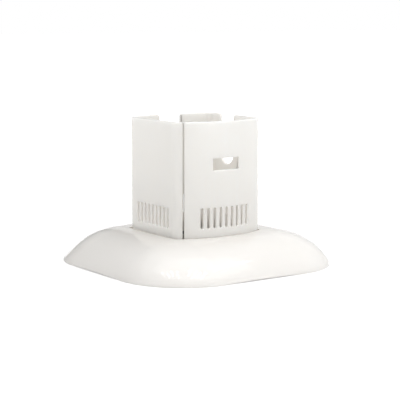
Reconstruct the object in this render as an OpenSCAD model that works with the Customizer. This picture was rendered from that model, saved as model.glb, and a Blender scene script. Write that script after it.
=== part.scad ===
// Ventilated open-top shroud standing in a flared skirt.
// Millimetres, +Z up, origin in the middle of the plane the skirt stands on.
// The wall with the switch cut-out faces -Y.

/* [Tower] */
// Width of the tower over its flat side walls
tower_w = 100; // [90:1:108]
// Height of the open top above the standing plane
tower_top = 142; // [130:1:165]
// Distance from the centre to the middle of the crowned front wall
front_reach = 52.5; // [50:0.5:56]
// How far the front wall bulges beyond its own corners
front_crown = 13.2; // [8:0.4:14.8]
// Distance from the centre to the middle of the rear wall
rear_reach = 51.6; // [50:0.4:56]
// How far the rear wall bulges beyond its own corners
rear_crown = 8.3; // [5:0.3:11]
// Radius of the upright corners of the tower
tower_corner_r = 12.8; // [8:0.4:14]
// Wall thickness of the tower
tower_wall = 3; // [2:0.25:4]

/* [Vent slots] */
// Vent slots in each wall
slot_count = 9; // [3:2:9]
// Spacing of the vent slots
slot_pitch = 6.48; // [5:0.2:7]
// Width of a vent slot
slot_w = 3.1; // [2:0.1:3.8]
// Height of the lowest point of the slots
slot_bottom = 40.5; // [37:0.5:46]
// Height of the highest point of the slots
slot_top = 60.3; // [53:0.1:80]

/* [Switch cut-out] */
// Width of the cut-out in the front wall
window_w = 30.2; // [20:0.2:40]
// Height of the cut-out
window_h = 11.4; // [8:0.2:16]
// Height of the middle of the cut-out above the standing plane
window_z = 101.3; // [85:0.1:110]

/* [U-notches] */
// Width of the notch in the right wall
side_notch_w = 21.9; // [14:0.1:28]
// Distance of the middle of the right notch behind the centre
side_notch_y = 12.9; // [0:0.1:14]
// Width of the notch in the rear wall
rear_notch_w = 24.4; // [14:0.2:28]
// Distance of the middle of the rear notch to the right of the centre
rear_notch_x = 2.6; // [0:0.2:12]
// Lowest point of both notches
notch_bottom = 92; // [80:0.5:110]
// Radius where a notch runs out into the top edge
notch_mouth_r = 3; // [1:0.5:5]

/* [Skirt] */
// Width of the skirt, left to right
skirt_w = 226.5; // [220:0.5:250]
// Depth of the skirt, front to rear
skirt_d = 228; // [222:1:256]
// Plan radius of the corners of the skirt
skirt_corner_r = 68; // [50:1:80]
// Height of the crown of the skirt
skirt_crown_z = 31.9; // [29.9:0.5:36.9]
// Wall thickness of the skirt
skirt_wall = 3; // [2:0.25:3.5]
// Thickness of the skirt beside the tower
skirt_land_t = 4; // [4:0.25:5]
// Fullness of the dome in front, near the crown
front_full_n = 2.6; // [2:0.1:3]
// Fullness of the dome in front, near the rim
front_full_m = 1.375; // [0.8:0.025:1.6]
// Fullness of the dome at the rear, near the crown
rear_full_n = 2.75; // [2:0.05:3]
// Fullness of the dome at the rear, near the rim
rear_full_m = 0.9; // [0.8:0.05:1.6]
// How far the rim is arched off the standing plane in the middle of each side
rim_arch = 0.8; // [0:0.1:1.5]
// Radius of the opening in the skirt at the corners of the tower
opening_corner_r = 4; // [3:0.5:8]
// Gap between tower and skirt
opening_gap = 0.4; // [0.3:0.1:0.8]

/* [Clamping] */
// Width of the foot flange of the tower
flange_w = 15; // [14:0.5:15.5]
// Thickness of the foot flange
flange_t = 3; // [2.5:0.25:3.5]
// Thickness of the boss ring
boss_ring_t = 2.5; // [2:0.25:3]
// Width of the boss ring
boss_ring_w = 14; // [13:0.5:14.5]
// Outer radius of a screw boss
boss_r = 4; // [3.5:0.25:4.25]
// Distance of the screws from the tower wall
boss_out = 7.4; // [7:0.2:7.6]
// Thickness of the flange gasket
gasket_t = 1.2; // [0.8:0.1:1.6]
// Thickness of the closed end of a boss
boss_end_t = 1; // [0.8:0.1:1.5]
// Room between the tip of a screw and the end of its bore
boss_spare = 1; // [0.5:0.1:1.5]
// Radius of the clamp screw thread
screw_r = 1.75; // [1.5:0.25:2]
// Radius of the clamp screw head
screw_head_r = 3.4; // [3:0.1:4]
// Height of the clamp screw head
screw_head_t = 2.2; // [1.8:0.1:2.6]
// Outer radius of a washer
washer_r = 4.5; // [4:0.25:5]
// Thickness of a washer
washer_t = 0.8; // [0.6:0.1:1]

/* [Mounting frame] */
// Thickness of the frame ring
frame_t = 3; // [2.5:0.25:4]
// Radius of the pads of the frame around the clamp screws
corner_pad_r = 10; // [9:0.5:11]
// Depth of the legs
leg_h = 6; // [5:0.5:8]
// Width of the legs
leg_w = 10; // [8:0.5:12]
// Radius of a foot column
foot_r = 8; // [7:0.5:9]
// Thickness of a foot above its insert
foot_cap_t = 2; // [1.5:0.25:3]
// Spacing of the deck bolts, left to right
deck_bolt_x = 136; // [124:1:138]
// Spacing of the deck bolts, front to rear
deck_bolt_y = 140; // [128:1:142]
// Outer radius of a threaded insert
insert_r = 3.5; // [3:0.25:4]
// Length of a threaded insert
insert_l = 10; // [8:0.5:12]
// Radius of the thread in the insert
insert_bore_r = 2.1; // [1.6:0.1:2.6]
// Thickness of a foot pad
pad_t = 2; // [1.5:0.25:3]
// Outer radius of a foot pad
pad_r = 9; // [8:0.5:10]
// Gap around an insert in its pad and around a boss in the flange
hole_gap = 0.4; // [0.3:0.1:0.6]
// Gap between a screw and the bore it threads into
thread_gap = 0.05; // [0.02:0.01:0.1]
// Gap between a leg and the washer beside it
leg_gap = 1; // [0.5:0.25:2]

/* [Hidden] */
$fn = 96;

// Heights of the clamped stack, from the crown of the skirt downwards.
land_z = skirt_crown_z - skirt_land_t;
ring_z = land_z - boss_ring_t;
flange_top = ring_z - gasket_t;
flange_z = flange_top - flange_t;
frame_z = flange_z - frame_t;
washer_z = frame_z - washer_t;
foot_top = pad_t + insert_l + foot_cap_t;

// Crowned walls: each is an arc through its corners and its middle.
half_w = tower_w / 2;
front_r = (half_w * half_w + front_crown * front_crown) / (2 * front_crown);
rear_r = (half_w * half_w + rear_crown * rear_crown) / (2 * rear_crown);
front_cy = front_r - front_reach;
rear_cy = rear_reach - rear_r;

// Centre height of the arc that rounds a corner between a side wall and a crowned wall.
function corner_drop(wall_r, corner_r, grow) =
    sqrt(pow(wall_r + grow - corner_r, 2) - pow(half_w + grow - corner_r, 2));
front_corner_y = front_cy - corner_drop(front_r, tower_corner_r, 0);
rear_corner_y = rear_cy + corner_drop(rear_r, tower_corner_r, 0);
corner_x = half_w - tower_corner_r;

// Where the four clamp screws stand, on the diagonals of the tower corners.
screw_off = (tower_corner_r + boss_out) * cos(45);
screw_x = corner_x + screw_off;
screw_spots = [
    [screw_x, front_corner_y - screw_off],
    [-screw_x, front_corner_y - screw_off],
    [screw_x, rear_corner_y + screw_off],
    [-screw_x, rear_corner_y + screw_off]
];
deck_spots = [
    [deck_bolt_x / 2, -deck_bolt_y / 2],
    [-deck_bolt_x / 2, -deck_bolt_y / 2],
    [deck_bolt_x / 2, deck_bolt_y / 2],
    [-deck_bolt_x / 2, deck_bolt_y / 2]
];

// Cuts run past the faces they open by this much.
past = 1;

// Plan of the tower, grown outwards by grow (negative shrinks it).
module tower_plan(grow) {
    half = half_w + grow;
    r = tower_corner_r + grow;
    fr = front_r + grow;
    rr = rear_r + grow;
    fx = corner_x * fr / (fr - r);
    fy = front_cy + (front_corner_y - front_cy) * fr / (fr - r);
    rx = corner_x * rr / (rr - r);
    ry = rear_cy + (rear_corner_y - rear_cy) * rr / (rr - r);
    polygon([
        [half, front_corner_y], [half, rear_corner_y], [rx, ry], [-rx, ry],
        [-half, rear_corner_y], [-half, front_corner_y], [-fx, fy], [fx, fy]
    ]);
    for (side = [-1, 1]) {
        translate([side * corner_x, front_corner_y])
            circle(r);
        translate([side * corner_x, rear_corner_y])
            circle(r);
    }
    intersection() {
        translate([0, front_cy])
            circle(fr);
        translate([-fx, fy - fr])
            square([2 * fx, fr + r / 2]);
    }
    intersection() {
        translate([0, rear_cy])
            circle(rr);
        translate([-rx, ry - r / 2])
            square([2 * rx, rr]);
    }
}

// Flat ring around the tower, from inner to outer growth of its plan.
module plan_ring(inner, outer, z, t) {
    difference() {
        translate([0, 0, z])
            linear_extrude(t)
                tower_plan(outer);
        translate([0, 0, z - past])
            linear_extrude(t + 2 * past)
                tower_plan(inner);
    }
}

// One row of vent slots, cut along -Y from the centre line.
module slot_row(reach) {
    r = slot_w / 2;
    first = -(slot_count - 1) / 2 * slot_pitch;
    for (i = [0 : slot_count - 1])
        translate([first + i * slot_pitch, 0, 0])
            rotate([90, 0, 0])
                linear_extrude(reach) {
                    translate([-r, slot_bottom + r])
                        square([slot_w, slot_top - slot_bottom - slot_w]);
                    translate([0, slot_bottom + r])
                        circle(r);
                    translate([0, slot_top - r])
                        circle(r);
                }
}

// U-notch cut along -Y from the centre line, with a rounded mouth at the top edge.
module u_notch(w, reach) {
    r = w / 2;
    rotate([90, 0, 0])
        linear_extrude(reach) {
            translate([0, notch_bottom + r])
                circle(r);
            translate([-r, notch_bottom + r])
                square([w, tower_top + past - notch_bottom - r]);
            difference() {
                translate([-r - notch_mouth_r, tower_top - notch_mouth_r])
                    square([w + 2 * notch_mouth_r, notch_mouth_r + past]);
                for (side = [-1, 1])
                    translate([side * (r + notch_mouth_r), tower_top - notch_mouth_r])
                        circle(notch_mouth_r);
            }
        }
}

module tower_shroud() {
    cut_reach = half_w + front_reach;
    color("ivory")
        difference() {
            union() {
                translate([0, 0, flange_z])
                    linear_extrude(tower_top - flange_z)
                        tower_plan(0);
                translate([0, 0, flange_z])
                    linear_extrude(flange_t)
                        tower_plan(flange_w);
            }
            translate([0, 0, flange_z - past])
                linear_extrude(tower_top - flange_z + 2 * past)
                    tower_plan(-tower_wall);
            for (turn = [0, 90, 180, 270])
                rotate([0, 0, turn])
                    slot_row(cut_reach);
            translate([-window_w / 2, -cut_reach, window_z - window_h / 2])
                cube([window_w, cut_reach, window_h]);
            translate([0, side_notch_y, 0])
                rotate([0, 0, 90])
                    u_notch(side_notch_w, cut_reach);
            translate([rear_notch_x, 0, 0])
                rotate([0, 0, 180])
                    u_notch(rear_notch_w, cut_reach);
            for (spot = screw_spots)
                translate([spot[0], spot[1], flange_z - past])
                    cylinder(r = boss_r + hole_gap, h = flange_t + 2 * past);
        }
}

// Skirt: rows of points run from the rim over the dome to the opening and back underneath.
side_steps = 8;
corner_steps = 12;
quarter = side_steps + corner_steps;
around = 4 * quarter;
dome_steps = 16;

// Position on the way round: 0 to 1 along each side, then 0 to 1 along each corner.
// Rim of the skirt at place i, shrunk by inset.
function rim_point(i, inset) =
    let (
        q = floor(i / quarter),
        k = i % quarter,
        sx = (q == 0 || q == 1) ? 1 : -1,
        r = skirt_corner_r,
        cx = skirt_w / 2 - r,
        cy = skirt_d / 2 - r,
        u = k < side_steps ? 2 * k / side_steps - 1 : 1,
        a = k < side_steps ? 0 : 90 * (k - side_steps) / corner_steps
    )
    q == 0 ? [u * cx + (r - inset) * sin(a), -cy - (r - inset) * cos(a)] :
    q == 1 ? [cx + (r - inset) * cos(a), u * cy + (r - inset) * sin(a)] :
    q == 2 ? [-u * cx - (r - inset) * sin(a), cy + (r - inset) * cos(a)] :
    [-cx - (r - inset) * cos(a), -u * cy - (r - inset) * sin(a)];

// Opening for the tower at place i: the tower's plan grown by the gap, with tighter corners.
open_r = opening_corner_r;
open_x = half_w + opening_gap - open_r;
open_fy = front_cy - corner_drop(front_r, open_r, opening_gap);
open_ry = rear_cy + corner_drop(rear_r, open_r, opening_gap);
front_turn = asin(open_x / (front_r + opening_gap - open_r));
rear_turn = asin(open_x / (rear_r + opening_gap - open_r));
function open_point(i) =
    let (
        q = floor(i / quarter),
        k = i % quarter,
        on_side = k < side_steps,
        u = on_side ? 2 * k / side_steps - 1 : 1,
        w = on_side ? 0 : (k - side_steps) / corner_steps,
        fr = front_r + opening_gap,
        rr = rear_r + opening_gap,
        a0 = front_turn + (90 - front_turn) * w,
        a1 = (90 - rear_turn) * w,
        a2 = rear_turn + (90 - rear_turn) * w,
        a3 = (90 - front_turn) * w,
        mid = (open_fy + open_ry) / 2,
        rise = (open_ry - open_fy) / 2
    )
    q == 0 ? (
        on_side ? [fr * sin(u * front_turn), front_cy - fr * cos(u * front_turn)] :
        [open_x + open_r * sin(a0), open_fy - open_r * cos(a0)]
    ) :
    q == 1 ? (
        on_side ? [open_x + open_r, mid + u * rise] :
        [open_x + open_r * cos(a1), open_ry + open_r * sin(a1)]
    ) :
    q == 2 ? (
        on_side ? [-rr * sin(u * rear_turn), rear_cy + rr * cos(u * rear_turn)] :
        [-open_x - open_r * sin(a2), open_ry + open_r * cos(a2)]
    ) :
    (
        on_side ? [-open_x - open_r, mid - u * rise] :
        [-open_x - open_r * cos(a3), open_fy - open_r * sin(a3)]
    );

// Arch of the rim: full in the middle of a side, none at its ends and in the corners.
function rim_lift(i) =
    let (k = i % quarter)
    k < side_steps ? rim_arch * (1 - pow(2 * k / side_steps - 1, 2)) : 0;

// How much of the front shape is used at depth y, eased from front to rear.
blend_reach = 80;
function front_share(y) =
    let (w = min(1, max(0, 0.5 - y / (2 * blend_reach))))
    w * w * (3 - 2 * w);

// Height of the dome a share s of the way from the rim to the opening.
lip_h = 1;
function dome_z(i, s) =
    let (
        f = front_share(rim_point(i, 0)[1]),
        n = rear_full_n + (front_full_n - rear_full_n) * f,
        m = rear_full_m + (front_full_m - rear_full_m) * f
    )
    lip_h + (skirt_crown_z - lip_h) * pow(1 - pow(1 - s, n), 1 / m)
        + rim_lift(i) * pow(1 - s, 2);

// Steps are closer together near the rim, where the dome is steepest.
step_ease = 1.5;
function step_share(j) = pow(j / dome_steps, step_ease);

// The underside is flat from the opening outwards as far as the boss ring reaches, and a little further.
land_spare = 6;
function land_share(i) = 1 - (boss_ring_w + land_spare) / norm(open_point(i) - rim_point(i, 0));

// A point of the dome, outside (inset 0) or inside (inset = wall).
function dome_point(i, s, inset) =
    let (
        a = rim_point(i, inset),
        b = open_point(i),
        under = s >= land_share(i) ? land_z : min(land_z, dome_z(i, s) - inset),
        z = inset == 0 ? dome_z(i, s) : under
    )
    [a[0] + (b[0] - a[0]) * s, a[1] + (b[1] - a[1]) * s, max(z, rim_lift(i))];

// The lip at the rim is rounded with two short steps: the foot of the lip and a point just above it.
lip_in = 0.7;
lip_ease = 0.3;
function lip_point(i, inset, z) =
    let (a = rim_point(i, inset))
    [a[0], a[1], rim_lift(i) + z];

module skirt() {
    rows = concat(
        [for (lip = [[lip_in, 0], [lip_in * lip_ease, lip_h * lip_ease]])
            [for (i = [0 : around - 1]) lip_point(i, lip[0], lip[1])]],
        [for (j = [0 : dome_steps])
            [for (i = [0 : around - 1]) dome_point(i, step_share(j), 0)]],
        [for (j = [dome_steps : -1 : 1])
            [for (i = [0 : around - 1]) dome_point(i, step_share(j), skirt_wall)]],
        [[for (i = [0 : around - 1]) lip_point(i, skirt_wall, 0)]]
    );
    row_count = len(rows);
    points = [for (row = rows) for (p = row) p];
    faces = [
        for (j = [0 : row_count - 1]) for (i = [0 : around - 1])
            let (
                next_j = (j + 1) % row_count,
                next_i = (i + 1) % around,
                a = j * around + i,
                b = j * around + next_i,
                c = next_j * around + next_i,
                d = next_j * around + i
            )
            for (face = [[a, c, b], [a, d, c]]) face
    ];
    color("linen")
        polyhedron(points = points, faces = faces);
}

module boss_ring() {
    boss_h = land_z - flange_z;
    color("gainsboro")
        difference() {
            union() {
                plan_ring(opening_gap, boss_ring_w, ring_z, boss_ring_t);
                for (spot = screw_spots)
                    translate([spot[0], spot[1], flange_z])
                        cylinder(r = boss_r, h = boss_h);
            }
            for (spot = screw_spots)
                translate([spot[0], spot[1], flange_z - past])
                    cylinder(r = screw_r, h = boss_h - boss_end_t + past);
        }
}

module flange_gasket() {
    color("dimgray")
        difference() {
            plan_ring(opening_gap, boss_ring_w, flange_top, gasket_t);
            for (spot = screw_spots)
                translate([spot[0], spot[1], flange_top - past])
                    cylinder(r = boss_r + hole_gap, h = gasket_t + 2 * past);
        }
}

// A leg slopes from a clamp screw corner of the frame down to the top of its foot.
module frame_leg(from, to) {
    run = to - from;
    drop = flange_z - foot_top;
    start = washer_r + leg_gap + leg_h * drop / norm(run);
    reach = norm(run) - start;
    translate([from[0], from[1], flange_z])
        rotate([0, 0, atan2(run[1], run[0])])
            translate([start, 0, 0])
                rotate([0, atan2(drop, reach), 0])
                    translate([0, -leg_w / 2, -leg_h])
                        cube([norm([reach, drop]), leg_w, leg_h]);
}

module mounting_frame() {
    color("slategray")
        difference() {
            union() {
                plan_ring(-tower_wall, flange_w, frame_z, frame_t);
                for (k = [0 : 3]) {
                    translate([screw_spots[k][0], screw_spots[k][1], frame_z])
                        cylinder(r = corner_pad_r, h = frame_t);
                    frame_leg(screw_spots[k], deck_spots[k]);
                    translate([deck_spots[k][0], deck_spots[k][1], pad_t])
                        cylinder(r = foot_r, h = foot_top - pad_t);
                }
            }
            for (k = [0 : 3]) {
                translate([screw_spots[k][0], screw_spots[k][1], frame_z - past])
                    cylinder(r = screw_r + hole_gap, h = frame_t + 2 * past);
                translate([deck_spots[k][0], deck_spots[k][1], pad_t - past])
                    cylinder(r = insert_r, h = insert_l + past);
            }
        }
}

module clamp_screws() {
    tip_z = land_z - boss_end_t - boss_spare;
    color("silver")
        for (spot = screw_spots)
            translate([spot[0], spot[1], 0]) {
                translate([0, 0, washer_z])
                    cylinder(r = screw_r - thread_gap, h = tip_z - washer_z);
                translate([0, 0, washer_z - screw_head_t])
                    cylinder(r = screw_head_r, h = screw_head_t);
            }
}

module clamp_washers() {
    color("lightgray")
        for (spot = screw_spots)
            translate([spot[0], spot[1], washer_z])
                difference() {
                    cylinder(r = washer_r, h = washer_t);
                    translate([0, 0, -past])
                        cylinder(r = screw_r + hole_gap, h = washer_t + 2 * past);
                }
}

module deck_inserts() {
    color("gold")
        for (spot = deck_spots)
            translate([spot[0], spot[1], pad_t])
                difference() {
                    cylinder(r = insert_r, h = insert_l);
                    translate([0, 0, -past])
                        cylinder(r = insert_bore_r, h = insert_l + 2 * past);
                }
}

module foot_pads() {
    color("black")
        for (spot = deck_spots)
            translate([spot[0], spot[1], 0])
                difference() {
                    cylinder(r = pad_r, h = pad_t);
                    translate([0, 0, -past])
                        cylinder(r = insert_r + hole_gap, h = pad_t + 2 * past);
                }
}

tower_shroud();
skirt();
boss_ring();
flange_gasket();
mounting_frame();
clamp_screws();
clamp_washers();
deck_inserts();
foot_pads();
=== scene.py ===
"""Looks of a ventilated open-top shroud tower that stands in a low flared skirt.

Everything is in metres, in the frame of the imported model: +Z up, the origin in the
middle of the plane that the skirt stands on, -Y towards the switch cut-out.
"""

import logging
import math
from dataclasses import dataclass, field
from enum import Enum

import bmesh
import bpy
from mathutils import Matrix, Vector

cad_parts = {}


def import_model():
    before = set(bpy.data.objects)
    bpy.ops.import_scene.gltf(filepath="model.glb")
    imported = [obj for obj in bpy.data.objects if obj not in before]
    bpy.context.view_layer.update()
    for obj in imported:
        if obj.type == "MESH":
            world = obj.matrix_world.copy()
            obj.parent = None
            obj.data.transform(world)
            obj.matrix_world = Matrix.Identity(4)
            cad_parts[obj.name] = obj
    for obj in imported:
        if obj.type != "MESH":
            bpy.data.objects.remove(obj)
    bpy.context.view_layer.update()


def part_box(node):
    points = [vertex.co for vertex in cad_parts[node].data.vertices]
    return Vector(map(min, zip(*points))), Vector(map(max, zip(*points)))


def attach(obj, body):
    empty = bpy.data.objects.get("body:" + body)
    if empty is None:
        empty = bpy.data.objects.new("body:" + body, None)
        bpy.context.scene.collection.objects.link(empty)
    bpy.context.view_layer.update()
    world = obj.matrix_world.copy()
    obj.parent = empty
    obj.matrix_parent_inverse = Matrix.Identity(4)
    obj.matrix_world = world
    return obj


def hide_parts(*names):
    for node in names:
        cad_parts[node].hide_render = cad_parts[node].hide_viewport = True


LOG = logging.getLogger("shroud")
MM = 0.001
BODY = "root"


class Wall(Enum):
    """The four walls of the tower and the turn from the front wall to each, in degrees."""

    FRONT = 0
    RIGHT = 90
    REAR = 180
    LEFT = 270


class Edge(Enum):
    """How softly an edge is rounded, as a share of the widest rounding on the piece."""

    SHARP = 0.0
    CRISP = 0.35
    SOFT = 1.0


# ---------------------------------------------------------------- mesh helpers


def new_piece(bm: bmesh.types.BMesh, name: str, smooth_below: float = 35.0) -> bpy.types.Object:
    """Turn a bmesh into an object of the scene.

    Args:
        bm: The finished bmesh, freed here.
        name: Name of the new object.
        smooth_below: Edges with a smaller angle than this, in degrees, are shaded smooth.

    Returns:
        The new object, at the origin.
    """
    mesh = bpy.data.meshes.new(name)
    bm.to_mesh(mesh)
    bm.free()
    mesh.shade_smooth()
    mesh.set_sharp_from_angle(angle=math.radians(smooth_below))
    piece = bpy.data.objects.new(name, mesh)
    bpy.context.scene.collection.objects.link(piece)
    return piece


def close_up(bm: bmesh.types.BMesh, gap: float = 1e-6) -> None:
    """Merge doubled vertices and turn all faces outwards.

    Args:
        bm: The bmesh to clean.
        gap: Largest distance between doubles, in metres.
    """
    bmesh.ops.remove_doubles(bm, verts=bm.verts, dist=gap)
    bmesh.ops.recalc_face_normals(bm, faces=bm.faces)


def copy_to(bm: bmesh.types.BMesh, places: list[Vector]) -> None:
    """Repeat everything in a bmesh at more places.

    Args:
        bm: Holds the one shape, standing at the first place.
        places: Where the shapes stand; the first is where it already is.
    """
    geom = bm.verts[:] + bm.edges[:] + bm.faces[:]
    for place in places[1:]:
        made = bmesh.ops.duplicate(bm, geom=geom)["geom"]
        verts = [g for g in made if isinstance(g, bmesh.types.BMVert)]
        bmesh.ops.translate(bm, verts=verts, vec=place - places[0])


def spun(bm: bmesh.types.BMesh, profile: list[tuple[float, float]], steps: int) -> None:
    """Spin a profile of (radius, height) points round the Z axis into a closed surface.

    Args:
        bm: Takes the new surface.
        profile: Points of the open or closed section, from its first to its last.
        steps: Number of faces round the axis.
    """
    verts = [bm.verts.new((r, 0.0, z)) for r, z in profile]
    edges = [bm.edges.new(pair) for pair in zip(verts, verts[1:])]
    bmesh.ops.spin(
        bm, geom=verts + edges, cent=(0, 0, 0), axis=(0, 0, 1),
        angle=2 * math.pi, steps=steps, use_merge=True,
    )


@dataclass
class Outline:
    """Traces a flat outline by extruding lines and spinning arcs, one after another."""

    bm: bmesh.types.BMesh
    tip: bmesh.types.BMVert
    start: bmesh.types.BMVert
    edges: list[bmesh.types.BMEdge] = field(default_factory=list)

    @classmethod
    def begin(cls, bm: bmesh.types.BMesh, at: Vector) -> "Outline":
        """Start a new outline at a point."""
        first = bm.verts.new(at)
        return cls(bm, first, first)

    def line_to(self, x: float, y: float) -> None:
        """Run straight to a point at the same height."""
        made = bmesh.ops.extrude_vert_indiv(self.bm, verts=[self.tip])
        self.tip = made["verts"][0]
        self.tip.co.x, self.tip.co.y = x, y
        self.edges += made["edges"]

    def arc(self, cx: float, cy: float, turn: float, steps: int) -> None:
        """Run along an arc.

        Args:
            cx: X of the centre.
            cy: Y of the centre.
            turn: Angle of the arc in radians, positive anticlockwise.
            steps: Number of straight pieces in it.
        """
        centre = Vector((cx, cy, self.tip.co.z))
        for _ in range(steps):
            made = bmesh.ops.extrude_vert_indiv(self.bm, verts=[self.tip])
            self.tip = made["verts"][0]
            bmesh.ops.rotate(
                self.bm, verts=[self.tip], cent=centre,
                matrix=Matrix.Rotation(turn / steps, 3, "Z"),
            )
            self.edges += made["edges"]

    def close(self) -> list[bmesh.types.BMEdge]:
        """Join the tip to the start and return the loop of edges."""
        if (self.tip.co - self.start.co).length < 1e-5:
            bmesh.ops.weld_verts(self.bm, targetmap={self.tip: self.start})
        else:
            self.edges.append(self.bm.edges.new((self.tip, self.start)))
        return [e for e in self.edges if e.is_valid]


def cut(piece: bpy.types.Object, cutter: bpy.types.Object) -> None:
    """Cut one piece out of another and remove the cutter.

    Args:
        piece: The piece that is cut.
        cutter: A closed mesh whose space is taken away.
    """
    knife = piece.modifiers.new("cut", "BOOLEAN")
    knife.operation = "DIFFERENCE"
    knife.solver = "EXACT"
    knife.object = cutter
    bpy.context.view_layer.update()
    shape = piece.evaluated_get(bpy.context.evaluated_depsgraph_get())
    mesh = bpy.data.meshes.new_from_object(shape)
    old = piece.data
    piece.modifiers.clear()
    piece.data = mesh
    bpy.data.meshes.remove(old)
    bpy.data.objects.remove(cutter)


def round_edges(piece: bpy.types.Object, width: float, segments: int) -> None:
    """Round every sharp edge of a piece with a live bevel.

    Args:
        piece: The piece to finish.
        width: Width of the rounding in metres.
        segments: Number of faces across it.
    """
    bevel = piece.modifiers.new("rounding", "BEVEL")
    bevel.width = width
    bevel.segments = segments
    bevel.limit_method = "ANGLE"
    bevel.angle_limit = math.radians(40)
    bevel.harden_normals = True
    bevel.miter_outer = "MITER_ARC"


# ---------------------------------------------------------------- finishes


class Group:
    """A shader node group with named inputs and outputs, filled node by node."""

    def __init__(self, name: str) -> None:
        """Make an empty group."""
        self.tree = bpy.data.node_groups.new(name, "ShaderNodeTree")
        self.inside = self.tree.nodes.new("NodeGroupInput")
        self.outside = self.tree.nodes.new("NodeGroupOutput")

    def takes(self, name: str, kind: str, value: object) -> None:
        """Add a named input with its usual value."""
        socket = self.tree.interface.new_socket(name, in_out="INPUT", socket_type=f"NodeSocket{kind}")
        socket.default_value = value

    def gives(self, name: str, kind: str) -> None:
        """Add a named output."""
        self.tree.interface.new_socket(name, in_out="OUTPUT", socket_type=f"NodeSocket{kind}")

    def node(self, kind: str, **values: object) -> bpy.types.Node:
        """Add a node and set its properties."""
        made = self.tree.nodes.new(f"ShaderNode{kind}")
        for key, value in values.items():
            setattr(made, key, value)
        return made

    def join(self, out: bpy.types.NodeSocket, into: bpy.types.NodeSocket) -> None:
        """Link one socket to another."""
        self.tree.links.new(out, into)

    def maths(self, operation: str, a: object, b: object = 0.0) -> bpy.types.NodeSocket:
        """Add a Math node.

        Args:
            operation: Name of the operation.
            a: First value, a socket or a number.
            b: Second value, a socket or a number.

        Returns:
            The result's socket.
        """
        made = self.node("Math", operation=operation)
        for socket, value in zip(made.inputs, (a, b)):
            if isinstance(value, bpy.types.NodeSocket):
                self.join(value, socket)
            else:
                socket.default_value = value
        return made.outputs[0]

    def ramp(self, value: bpy.types.NodeSocket, low: object, high: object,
             to_low: float = 0.0, to_high: float = 1.0) -> bpy.types.NodeSocket:
        """Map a value from one range to another, clamped.

        Args:
            value: The socket to map.
            low: Lower end of its range.
            high: Upper end of its range.
            to_low: Result at the lower end.
            to_high: Result at the upper end.

        Returns:
            The result's socket.
        """
        made = self.node("MapRange")
        self.join(value, made.inputs["Value"])
        for name, end in (("From Min", low), ("From Max", high), ("To Min", to_low), ("To Max", to_high)):
            if isinstance(end, bpy.types.NodeSocket):
                self.join(end, made.inputs[name])
            else:
                made.inputs[name].default_value = end
        return made.outputs["Result"]

    def noise(self, scale: object, detail: float, stretch: tuple[float, float, float] = (1, 1, 1)
              ) -> bpy.types.NodeSocket:
        """Add a noise on Object coordinates.

        Args:
            scale: Cells per metre, a socket or a number.
            detail: How many finer layers it has.
            stretch: Scale along each axis.

        Returns:
            The socket of its value.
        """
        place = self.node("TexCoord")
        mapping = self.node("Mapping")
        mapping.inputs["Scale"].default_value = stretch
        texture = self.node("TexNoise")
        texture.inputs["Detail"].default_value = detail
        self.join(place.outputs["Object"], mapping.inputs["Vector"])
        self.join(mapping.outputs["Vector"], texture.inputs["Vector"])
        if isinstance(scale, bpy.types.NodeSocket):
            self.join(scale, texture.inputs["Scale"])
        else:
            texture.inputs["Scale"].default_value = scale
        return texture.outputs["Fac"]


def edge_wear_group() -> bpy.types.NodeTree:
    """Mask of rubbed edges: high on convex edges, broken up by noise."""
    group = Group("edge_wear")
    group.takes("Spread", "Float", 0.06)
    group.takes("Patch Scale", "Float", 260.0)
    group.gives("Wear", "Float")
    shape = group.node("NewGeometry")
    edge = group.ramp(shape.outputs["Pointiness"], 0.5, group.maths("ADD", 0.5, group.inside.outputs["Spread"]))
    patches = group.ramp(group.noise(group.inside.outputs["Patch Scale"], 4.0), 0.35, 0.65, 0.25, 1.0)
    group.join(group.maths("MULTIPLY", edge, patches), group.outside.inputs["Wear"])
    return group.tree


def moulded_skin_group() -> bpy.types.NodeTree:
    """Surface of a polished moulding: long waves, orange peel, fine handling marks and a faint cloud."""
    group = Group("moulded_skin")
    group.takes("Wave Scale", "Float", 24.0)
    group.takes("Peel Scale", "Float", 900.0)
    group.takes("Peel Share", "Float", 0.25)
    group.takes("Scuff Scale", "Float", 140.0)
    group.gives("Height", "Float")
    group.gives("Scuffs", "Float")
    group.gives("Cloud", "Float")
    given = group.inside.outputs
    waves = group.noise(given["Wave Scale"], 1.0)
    peel = group.maths("MULTIPLY", group.noise(given["Peel Scale"], 2.0), given["Peel Share"])
    group.join(group.maths("ADD", waves, peel), group.outside.inputs["Height"])
    scuffs = group.noise(given["Scuff Scale"], 6.0, (1.0, 1.0, 0.25))
    group.join(group.ramp(scuffs, 0.5, 0.78), group.outside.inputs["Scuffs"])
    group.join(group.ramp(group.noise(7.0, 3.0), 0.3, 0.7), group.outside.inputs["Cloud"])
    return group.tree


def dust_group() -> bpy.types.NodeTree:
    """Mask of fine dust that settles on faces that look up."""
    group = Group("settled_dust")
    group.takes("Speck Scale", "Float", 1500.0)
    group.gives("Dust", "Float")
    shape = group.node("NewGeometry")
    split = group.node("SeparateXYZ")
    group.join(shape.outputs["Normal"], split.inputs["Vector"])
    up = group.ramp(split.outputs["Z"], 0.55, 1.0)
    specks = group.ramp(group.noise(group.inside.outputs["Speck Scale"], 3.0), 0.62, 0.8)
    group.join(group.maths("MULTIPLY", up, specks), group.outside.inputs["Dust"])
    return group.tree


def grain_group() -> bpy.types.NodeTree:
    """Even fine grain for foam, rubber and cast metal."""
    group = Group("fine_grain")
    group.takes("Grain Scale", "Float", 1200.0)
    group.gives("Grain", "Float")
    group.gives("Blotch", "Float")
    group.join(group.noise(group.inside.outputs["Grain Scale"], 5.0), group.outside.inputs["Grain"])
    group.join(group.ramp(group.noise(60.0, 3.0), 0.3, 0.7), group.outside.inputs["Blotch"])
    return group.tree


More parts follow.
